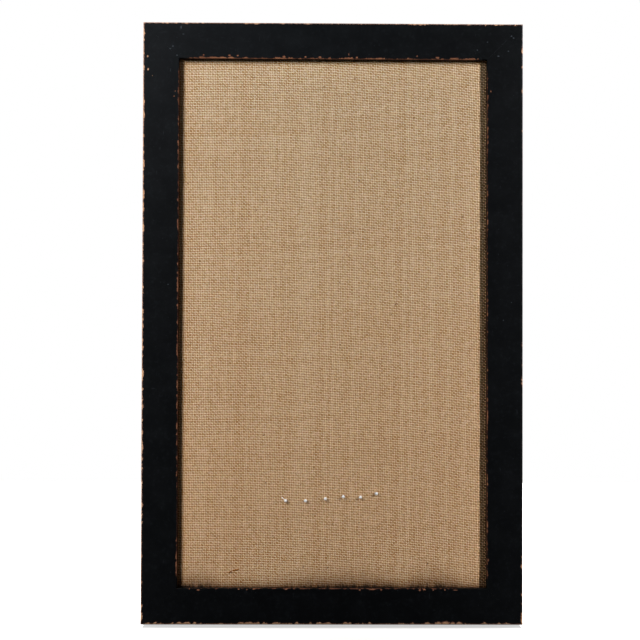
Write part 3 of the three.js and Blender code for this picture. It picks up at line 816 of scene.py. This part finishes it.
def fold(half, front_points):
    """One way across the burlap's flat cut, folded round the core: the places on the cut, how far out and
    how far back each comes to lie, and the place of the first fold. A place goes along the front up to that
    fold, round a quarter circle, down the side, round another and back under the core."""
    edge = half - EDGE_ROUND
    thirds = np.array([0.33, 0.67, 1.0])
    halves = np.array([0.5, 1.0])
    beyond = thirds * FOLD_TURN
    deeper = FOLD_TURN + halves * FOLD_SIDE
    under = FOLD_TURN + FOLD_SIDE + thirds * FOLD_TURN
    last = 2 * FOLD_TURN + FOLD_SIDE + halves * FOLD_FLAP
    outside = edge + np.concatenate([beyond, deeper, under, last])
    cut = np.concatenate([-outside[::-1], np.linspace(-edge, edge, front_points), outside])

    far = np.maximum(np.abs(cut) - edge, 0)
    first = np.clip(far / FOLD_TURN, 0, 1) * math.pi / 2
    second = np.clip((far - FOLD_TURN - FOLD_SIDE) / FOLD_TURN, 0, 1) * math.pi / 2
    out = np.minimum(np.abs(cut), edge) + EDGE_ROUND * np.sin(first)
    out = out - EDGE_ROUND * (1 - np.cos(second)) - np.maximum(far - 2 * FOLD_TURN - FOLD_SIDE, 0)
    down = EDGE_ROUND * (1 - np.cos(first)) + np.clip(far - FOLD_TURN, 0, FOLD_SIDE)
    down = down + EDGE_ROUND * np.sin(second)
    return cut, np.sign(cut) * out, down, edge


def pulled_threads():
    """Loose threads on the cloth. Each runs straight along it while its height is a half sine of the way
    along, and its round section thins to a point at both ends as the root of that sine."""
    share = np.linspace(0, 1, 21)[:, None]
    angle = np.linspace(0, 2 * math.pi, 10, endpoint=False)
    arch = np.sin(math.pi * share)
    radius = THREAD_RADIUS * np.sqrt(np.maximum(arch, 0))
    across_thread = radius * np.cos(angle)
    loop = np.array(grid_faces(share.size, angle.size))
    points, faces = [], []
    for number, (x, z, run_x, run_z, lift) in enumerate(PULLED_THREADS):
        length = math.hypot(run_x, run_z)
        line_x = (x + run_x * share) * MM - across_thread * run_z / length
        line_z = (z + run_z * share) * MM + across_thread * run_x / length
        line_y = CLOTH_FRONT + THREAD_RADIUS - (lift * MM + THREAD_RADIUS) * arch - radius * np.sin(angle)
        faces.append(loop + number * share.size * angle.size)
        points.append(np.stack([line_x, line_y, line_z], axis=-1).reshape(-1, 3))
    points = np.vstack(points)
    crown = np.tile(THREAD_CROWN, (len(points), 1))
    threads = put_mesh("burlap_pulled_threads", points, np.vstack(faces).tolist(), {"weave": crown})
    close_up(threads, THREAD_CREASE)
    threads.data.materials.append(FINISHES["burlap"])
    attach(threads, "board")
    return threads


def add_cloth():
    """The burlap's front, sides and turned-in flaps in one sheet, without the squares that are cut away at
    the corners. The front swells and dips by noise, and rolls back towards its bottom edge as the square of
    a smooth step. The mark weave counts threads: wefts bow by a slope and a parabola, warps lean, and noise
    makes both waver."""
    a, x, x_down, edge_a = fold(PANEL_WIDTH / 2, FRONT_POINTS[0])
    b, z, z_down, edge_b = fold(PANEL_HEIGHT / 2, FRONT_POINTS[1])
    grid_a, grid_b = np.meshgrid(a, b)
    points_x, points_z = np.meshgrid(x, z)
    down = x_down[None, :] + z_down[:, None]
    spots = np.stack([grid_a, grid_b], axis=-1)
    inside = np.minimum(PANEL_WIDTH / 2 - np.abs(grid_a), PANEL_HEIGHT / 2 - np.abs(grid_b))
    free = ramp(inside, FLAT_TO, FREE_FROM)
    swell = sum(height * lattice_noise(spots, cell, seed) for height, cell, seed in SWELLS) * MM * free
    above_lip = grid_b + PANEL_HEIGHT / 2 - LIP_COVER
    roll = ROLL_DEPTH * (1 - ramp(above_lip, 0, ROLL_REACH)) ** 2
    points_y = CLOTH_FRONT + down - swell + roll
    points = np.stack([points_x, points_y, PANEL_MIDDLE + points_z], axis=-1)

    bow = WEFT_SLOPE * grid_a + WEFT_BOW * grid_a * grid_a
    lean = WARP_LEAN * grid_b
    ripple = 0.5 * WEFT_PITCH * lattice_noise(spots, 0.09, 8)
    sway = 0.5 * WARP_PITCH * lattice_noise(spots, 0.11, 9)
    warp = (grid_a - lean + sway) / WARP_PITCH
    weft = (grid_b - bow + ripple) / WEFT_PITCH
    weave = np.stack([warp, weft, np.zeros_like(warp)], axis=-1)
    corner = (np.abs(grid_a) > edge_a + 1e-6) & (np.abs(grid_b) > edge_b + 1e-6)
    faces = np.array(grid_faces(b.size, a.size, looped=False))
    kept = faces[~corner.ravel()[faces].any(axis=1)]
    used = np.zeros(grid_a.size, bool)
    used[kept] = True
    renumbered = (np.cumsum(used) - 1)[kept]
    marks = {"weave": weave.reshape(-1, 3)[used]}
    sheet = put_mesh("burlap_sheet", points.reshape(-1, 3)[used], renumbered.tolist(), marks)
    sheet.data.shade_smooth()
    place(sheet, "board", ["burlap_cover"], "burlap")
    size = (float(a[-1] - a[0]), float(b[-1] - b[0]))
    cut_away = 4 * (a[-1] - edge_a) * (b[-1] - edge_b)
    pulled_threads()


def turned(name, profile, foot, direction, sides, crease, dent=None):
    """A turned piece: each (radius, height) of the profile becomes a circle round the axis, at
    foot + height * direction + radius * (cos q * first + sin q * second). A dent gives how much lower a
    point lies, from its two places across the axis and its height."""
    direction = np.asarray(direction, float) / np.linalg.norm(direction)
    first = np.cross((0.0, 0.0, 1.0), direction)
    first /= np.linalg.norm(first)
    second = np.cross(direction, first)
    radius, height = np.asarray(profile, float).T
    angle = np.linspace(0, 2 * math.pi, sides, endpoint=False)
    wide = radius[:, None] * np.cos(angle)
    deep = radius[:, None] * np.sin(angle)
    high = np.repeat(height[:, None], sides, axis=1)
    if dent is not None:
        high = high - dent(wide, deep, high)
    points = np.asarray(foot) + high[..., None] * direction
    points = points + wide[..., None] * first + deep[..., None] * second
    piece = put_mesh(name, points.reshape(-1, 3), grid_faces(len(radius), sides), {})
    close_up(piece, crease)
    return piece


def add_pins():
    """Six pins. A head is a ball on a short collar, and a shaft a straight wire with a ground point."""
    rim = math.asin(PIN_COLLAR / PIN_RADIUS) - math.pi / 2
    swing = np.linspace(rim, math.pi / 2, 25)
    ball = np.stack([PIN_RADIUS * np.cos(swing), PIN_RADIUS * np.sin(swing)], axis=-1)
    collar = [(0, -PIN_RADIUS), (0.8 * PIN_COLLAR, -PIN_RADIUS), (PIN_COLLAR, -0.97 * PIN_RADIUS)]
    head_profile = np.vstack([collar, ball])
    point = np.linspace(0, 1, 7)
    tip = np.stack([SHAFT_RADIUS * point ** 0.8, PIN_POINT * point - PIN_LENGTH], axis=-1)
    shaft_profile = np.vstack([tip, [(SHAFT_RADIUS, -0.5 * PIN_LENGTH), (SHAFT_RADIUS, 0), (0, 0)]])
    for number, (x, rise, lean_x, lean_z) in enumerate(PINS, 1):
        entry = np.array([x * MM, CLOTH_FRONT, SIGHT_BOTTOM + rise * MM])
        out = np.array([lean_x * MM, -PIN_STAND, lean_z * MM])
        middle = entry + out
        head = turned(f"pin_{number}_ball", head_profile, middle, out, sides=40, crease=FINE_CREASE)
        place(head, f"pin_{number}", [f"pin_head_{number}"], "pearl_plastic")
        shaft = turned(f"pin_{number}_wire", shaft_profile, middle, out, sides=20, crease=FINE_CREASE)
        place(shaft, f"pin_{number}", [f"pin_shaft_{number}"], "pin_steel")


def add_rings():
    """D rings bent from wire. The centre line starts at a butt joint in the straight bar and runs along it,
    round a quarter circle, down an arm, round a half circle and back. The wire is a circle swept along it,
    between the line's own normal and the normal of its plane, tilted to lie on the strap."""
    quarter = np.linspace(0, math.pi / 2, 10)
    half = np.linspace(0, math.pi, 40)
    corner_x = RING_HALF - RING_CORNER + RING_CORNER * np.sin(quarter)
    corner = np.stack([corner_x, RING_CORNER * (np.cos(quarter) - 1)], axis=-1)
    bow = np.stack([RING_HALF * np.cos(half), -RING_CORNER - RING_ARM - RING_HALF * np.sin(half)], axis=-1)
    right = np.vstack([[(RING_BUTT / 2, 0)], corner])
    line = np.vstack([right, bow, right[::-1] * (-1, 1)])
    ahead = np.gradient(line, axis=0)
    ahead /= np.linalg.norm(ahead, axis=1)[:, None]
    angle = np.linspace(0, 2 * math.pi, 20, endpoint=False)
    x = line[:, :1] - RING_WIRE * np.cos(angle) * ahead[:, 1:]
    flat_z = line[:, 1:] + RING_WIRE * np.cos(angle) * ahead[:, :1]
    flat_y = np.repeat(RING_WIRE * np.sin(angle)[None], len(line), axis=0)
    y = RING_Y + flat_y * math.cos(RING_TILT) - flat_z * math.sin(RING_TILT)
    z = flat_y * math.sin(RING_TILT) + flat_z * math.cos(RING_TILT)
    for side, middle in (("left", -HANGER_X), ("right", HANGER_X)):
        points = np.stack([middle + x, y, z], axis=-1).reshape(-1, 3)
        ring = put_mesh(f"ring_{side}_wire", points, grid_faces(len(line), angle.size, capped=True), {})
        close_up(ring, FINE_CREASE)
        place(ring, f"ring_{side}", [f"hanger_ring_{side}"], "zinc_steel")


def add_buttons():
    """Turn buttons stamped from plate. The outline is the hull of the boss and the tip: from the boss's
    middle it lies, at angle q, at the greatest c * cos q + sqrt(R^2 - (c * sin q)^2) over the circles of
    radius R and distance c between them. The section runs from the hole over the top, round the eased rim
    and back under the plate."""
    angle = np.linspace(0, 2 * math.pi, 120, endpoint=False)
    along = np.linspace(0, 1, 60)[:, None]
    away = BUTTON_REACH * along
    radius = BUTTON_BOSS + (BUTTON_TIP - BUTTON_BOSS) * along
    under_root = radius ** 2 - (away * np.sin(angle)) ** 2
    circles = away * np.cos(angle) + np.sqrt(np.maximum(under_root, 0))
    reach = np.where(under_root >= 0, circles, 0).max(axis=0)
    inset, rim_height = (BUTTON_RIM * MM).T[..., None]
    widening, hole_height = (BUTTON_BORE * MM).T[..., None]
    hole = np.repeat(BUTTON_HOLE + widening, angle.size, axis=1)
    from_middle = np.vstack([hole, reach - inset, hole[:1]])
    height = np.vstack([hole_height, rim_height, hole_height[:1]])
    forward = from_middle * np.cos(angle)
    sideways = from_middle * np.sin(angle)
    y = np.repeat(HARDWARE_SEAT + height, angle.size, axis=1)
    for name, (middle_x, middle_z, way_x, way_z) in BUTTONS.items():
        x = middle_x * MM + forward * way_x - sideways * way_z
        z = middle_z * MM + forward * way_z + sideways * way_x
        points = np.stack([x, y, z], axis=-1).reshape(-1, 3)
        button = put_mesh(f"button_{name}_plate", points, grid_faces(len(y), angle.size), {})
        close_up(button, PLATE_CREASE)
        place(button, f"button_{name}", [f"turn_button_{name}"], "brass_plate")


def cross_recess(turn):
    """A dent for a screw's crown, turned by an angle: the cross that a driver fits, two bars with soft
    sides that get shallower towards their ends."""
    cosine, sine = math.cos(turn), math.sin(turn)

    def bar(along, over):
        length = ramp(CROSS_ARM - np.abs(along), 0, CROSS_SOFT)
        return length * ramp(CROSS_HALF - np.abs(over), 0, CROSS_SOFT)

    def dent(wide, deep, high):
        first = wide * cosine + deep * sine
        second = deep * cosine - wide * sine
        depth = CROSS_DEPTH - CROSS_RISE * np.hypot(wide, deep) / CROSS_ARM
        return np.maximum(bar(first, second), bar(second, first)) * depth * (high > SCREW_RIM)

    return dent


def add_screws():
    """Pan-head wood screws. The crown's radius is R * cos(q) and its height follows sin(q) ^ 0.7 above a
    straight rim; a cross is sunk into it, and the shank below ends in a point."""
    swing = np.linspace(0, math.pi / 2, 34)
    crown_height = SCREW_RIM + (SCREW_HEIGHT - SCREW_RIM) * np.sin(swing) ** 0.7
    crown = np.stack([SCREW_HEAD * np.cos(swing), crown_height], axis=-1)
    shank = [
        (0, -SCREW_LENGTH),
        (SCREW_SHANK, SCREW_POINT - SCREW_LENGTH),
        (SCREW_SHANK, 0),
        (SCREW_HEAD - SCREW_EASE, 0),
        (SCREW_HEAD, SCREW_EASE),
    ]
    profile = np.vstack([shank, crown])
    seats = {}
    for name, (x, z, *_) in BUTTONS.items():
        seats[f"turn_button_screw_{name}"] = (x * MM, BUTTON_SCREW_SEAT, z * MM)
    for side, x in (("left", -HANGER_X), ("right", HANGER_X)):
        for number, z in enumerate(STRAP_SCREWS, 1):
            seats[f"hanger_screw_{side}_{number}"] = (x, STRAP_SCREW_SEAT, z)
    turns = np.random.default_rng(5).uniform(0, math.pi, len(seats))
    for (node, seat), turn in zip(seats.items(), turns):
        dent = cross_recess(turn)
        screw = turned(f"{node}_driven", profile, seat, (0, 1, 0), sides=72, crease=PLATE_CREASE, dent=dent)
        place(screw, "board", [node], "zinc_steel")


def add_bumpers():
    """Rubber bumpers: a button with a quarter-round rim and a shallow dish in its face."""
    swing = np.linspace(0, math.pi / 2, 12)
    flat = BUMPER_RADIUS - BUMPER_ROUND
    rim_height = BUMPER_HEIGHT - BUMPER_ROUND * (1 - np.sin(swing))
    rim = np.stack([flat + BUMPER_ROUND * np.cos(swing), rim_height], axis=-1)
    dish = [(share * flat, BUMPER_HEIGHT - depth * MM) for share, depth in BUMPER_DISH]
    profile = np.vstack([[(0, 0), (BUMPER_RADIUS, 0)], rim, dish])
    for side, x in (("left", -BUMPER_X), ("right", BUMPER_X)):
        foot = (x, HARDWARE_SEAT, BUMPER_Z)
        pad = turned(f"bumper_{side}_pad", profile, foot, (0, 1, 0), sides=48, crease=PLATE_CREASE)
        place(pad, "board", [f"wall_bumper_{side}"], "black_rubber")


# Finish of each solid, by the start of its name.
NODE_FINISH = {
    "frame": "black_paint",
    "corner_nail": "nail_steel",
    "pin_core": "fibreboard",
    "pin_head": "pearl_plastic",
    "pin_shaft": "pin_steel",
    "backing_board": "hardboard",
    "burlap_cover": "burlap",
    "turn_button_screw": "zinc_steel",
    "turn_button": "brass_plate",
    "hanger": "zinc_steel",
    "wall_bumper": "black_rubber",
}


def dress_solids():
    """Gives each solid the finish for its name."""
    for name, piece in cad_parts.items():
        slot = next(finish for start, finish in NODE_FINISH.items() if name.startswith(start))
        piece.data.materials.clear()
        piece.data.materials.append(FINISHES[slot])


# Tall gridded lamps in front, three on the left and two on the right, and broad ones behind, as place, aim,
# size, spread in degrees and power.
LAMPS = {
    "key_1": ((-1.4, -2.12, 1.2), (-3.339, 0, 1.031), (0.2, 1.4), 160.43, 193),
    "key_2": ((-1.75, -2.12, 1.2), (-3.27, 0, 1.064), (0.2, 1.4), 158.29, 260),
    "key_3": ((-2.1, -2.12, 1.2), (-3.279, 0, 1.074), (0.2, 1.4), 154.59, 351),
    "key_4": ((2.25, -2.42, 1.2), (4.021, 0, 1.14), (0.2, 1.5), 164.0, 689),
    "key_5": ((2.5, -2.42, 1.2), (4.07, 0, 1.147), (0.2, 1.5), 163.18, 859),
    "back_left": ((1.5, 1.9, 0.7), (0, 0, -0.29), (1.4, 1.4), 180, 25),
    "back_right": ((-1.7, 1.7, 0.3), (0, 0, -0.29), (1.4, 1.4), 180, 12),
}


def lamp(name, place_at, aim, size, spread, power):
    """A rectangular white soft box at a place, aimed at a point, with a grid that narrows its light to
    spread degrees. Its right side is level."""
    light = bpy.data.lights.new(name, "AREA")
    light.shape = "RECTANGLE"
    light.size, light.size_y = size
    light.spread = math.radians(spread)
    light.energy = power
    holder = bpy.data.objects.new(name, light)
    bpy.context.scene.collection.objects.link(holder)
    back = np.array(place_at, float) - np.array(aim, float)
    back /= np.linalg.norm(back)
    right = np.cross((0, 0, 1), back)
    right /= np.linalg.norm(right)
    matrix = np.eye(4)
    matrix[:3] = np.stack([right, np.cross(back, right), back, place_at], axis=-1)
    holder.matrix_world = Matrix(matrix.tolist())


def add_lights():
    """The lamps, and a world that is white to the camera and behind the board and nearly dark in front."""
    for name, settings in LAMPS.items():
        lamp(name, *settings)
    world = bpy.data.worlds.new("studio")
    bpy.context.scene.world = world
    world.use_nodes = True
    world.node_tree.nodes.clear()
    start = Wire(world.node_tree)
    rays = start.add("ShaderNodeLightPath", output="Is Camera Ray")
    way = start.add("ShaderNodeTexCoord", output="Generated")
    behind = way.axis("Y").above(-0.1, 0.25)
    soft = 0.012 + behind * 0.988
    strength = rays.math("MAXIMUM", rays, soft)
    glow = start.add("ShaderNodeBackground", None, {"Color": rgb(1, 1, 1), "Strength": strength})
    start.add("ShaderNodeOutputWorld", None, {"Surface": glow})


FLOOR_HALF = 3.0
FLOOR_GAP = 0.2 * MM
# Depth of the painted shadow strip in front of the board, and where it has faded out.
PAINTED_SHADOW_DEPTH = 22 * MM
PAINTED_SHADOW_FADE_END = 42 * MM


def add_floor():
    """A pale floor under the board's bottom edge. To the camera it glows towards white, but for a painted
    shadow along the board: a strip of even grey, duller and glowing less, that ends a little inside the
    board's two ends."""
    corners = np.array([[-1, -1, 0], [1, -1, 0], [1, 1, 0], [-1, 1, 0]]) * FLOOR_HALF
    corners[:, 2] = BOARD_BOTTOM - FLOOR_GAP
    floor = put_mesh("floor", corners, [[0, 1, 2, 3]], {})
    material, start = new_finish("pale_floor")
    rays = start.add("ShaderNodeLightPath", output="Is Camera Ray")
    spot = object_place(start)
    sideways, depth = spot.axis("X"), spot.axis("Y")
    mirrored = rays.part("Is Glossy Ray") * depth.above(0, 0.2)
    seen = rays.math("MAXIMUM", rays, mirrored)
    beside = sideways.math("ABSOLUTE", sideways) - BOARD_WIDTH / 2
    ahead = depth - (FRAME_BACK - RAIL_DEPTH / 2)
    ahead = ahead.math("ABSOLUTE", ahead) - RAIL_DEPTH / 2
    # The strip is painted shadow: grey colour and less glow where clear is 0.
    past_ends = beside.above(-5 * MM, -3 * MM)
    clear = past_ends.math("MAXIMUM", past_ends, ahead.above(PAINTED_SHADOW_DEPTH, PAINTED_SHADOW_FADE_END))
    painted_shadow_to_white = clear.blend(rgb(0.25, 0.25, 0.25), rgb(0.9, 0.9, 0.9))
    pale = start.add("ShaderNodeBsdfDiffuse", None, {"Color": painted_shadow_to_white})
    glow = start.add("ShaderNodeEmission", None, {"Color": rgb(1, 1, 1), "Strength": 0.475 + clear * 0.225})
    lifted = start.add("ShaderNodeAddShader", None, {0: pale, 1: glow})
    plain = start.add("ShaderNodeBsdfDiffuse", None, {"Color": rgb(0.06, 0.06, 0.06)})
    either = start.add("ShaderNodeMixShader", None, {0: seen, 1: plain, 2: lifted})
    start.add("ShaderNodeOutputMaterial", None, {"Surface": either})
    floor.data.materials.append(material)


CAMERA_PLACE = (-0.05839, -2.5, -0.34611)
CAMERA_TURN = (91.3605, -0.1692, -0.9867)


def add_camera():
    """The photograph's view: nearly square on, from a little left of and below the middle."""
    lens = bpy.data.cameras.new("view")
    lens.sensor_width = 36
    lens.lens = 109.77
    lens.clip_start, lens.clip_end = 0.05, 50
    camera = bpy.data.objects.new("view", lens)
    camera.location = CAMERA_PLACE
    camera.rotation_euler = tuple(math.radians(angle) for angle in CAMERA_TURN)
    bpy.context.scene.collection.objects.link(camera)
    bpy.context.scene.camera = camera


bpy.context.scene.view_settings.view_transform = "Standard"
dress_solids()
add_rails()
add_cloth()
add_pins()
add_rings()
add_buttons()
add_screws()
add_bumpers()
add_floor()
add_lights()
add_camera()
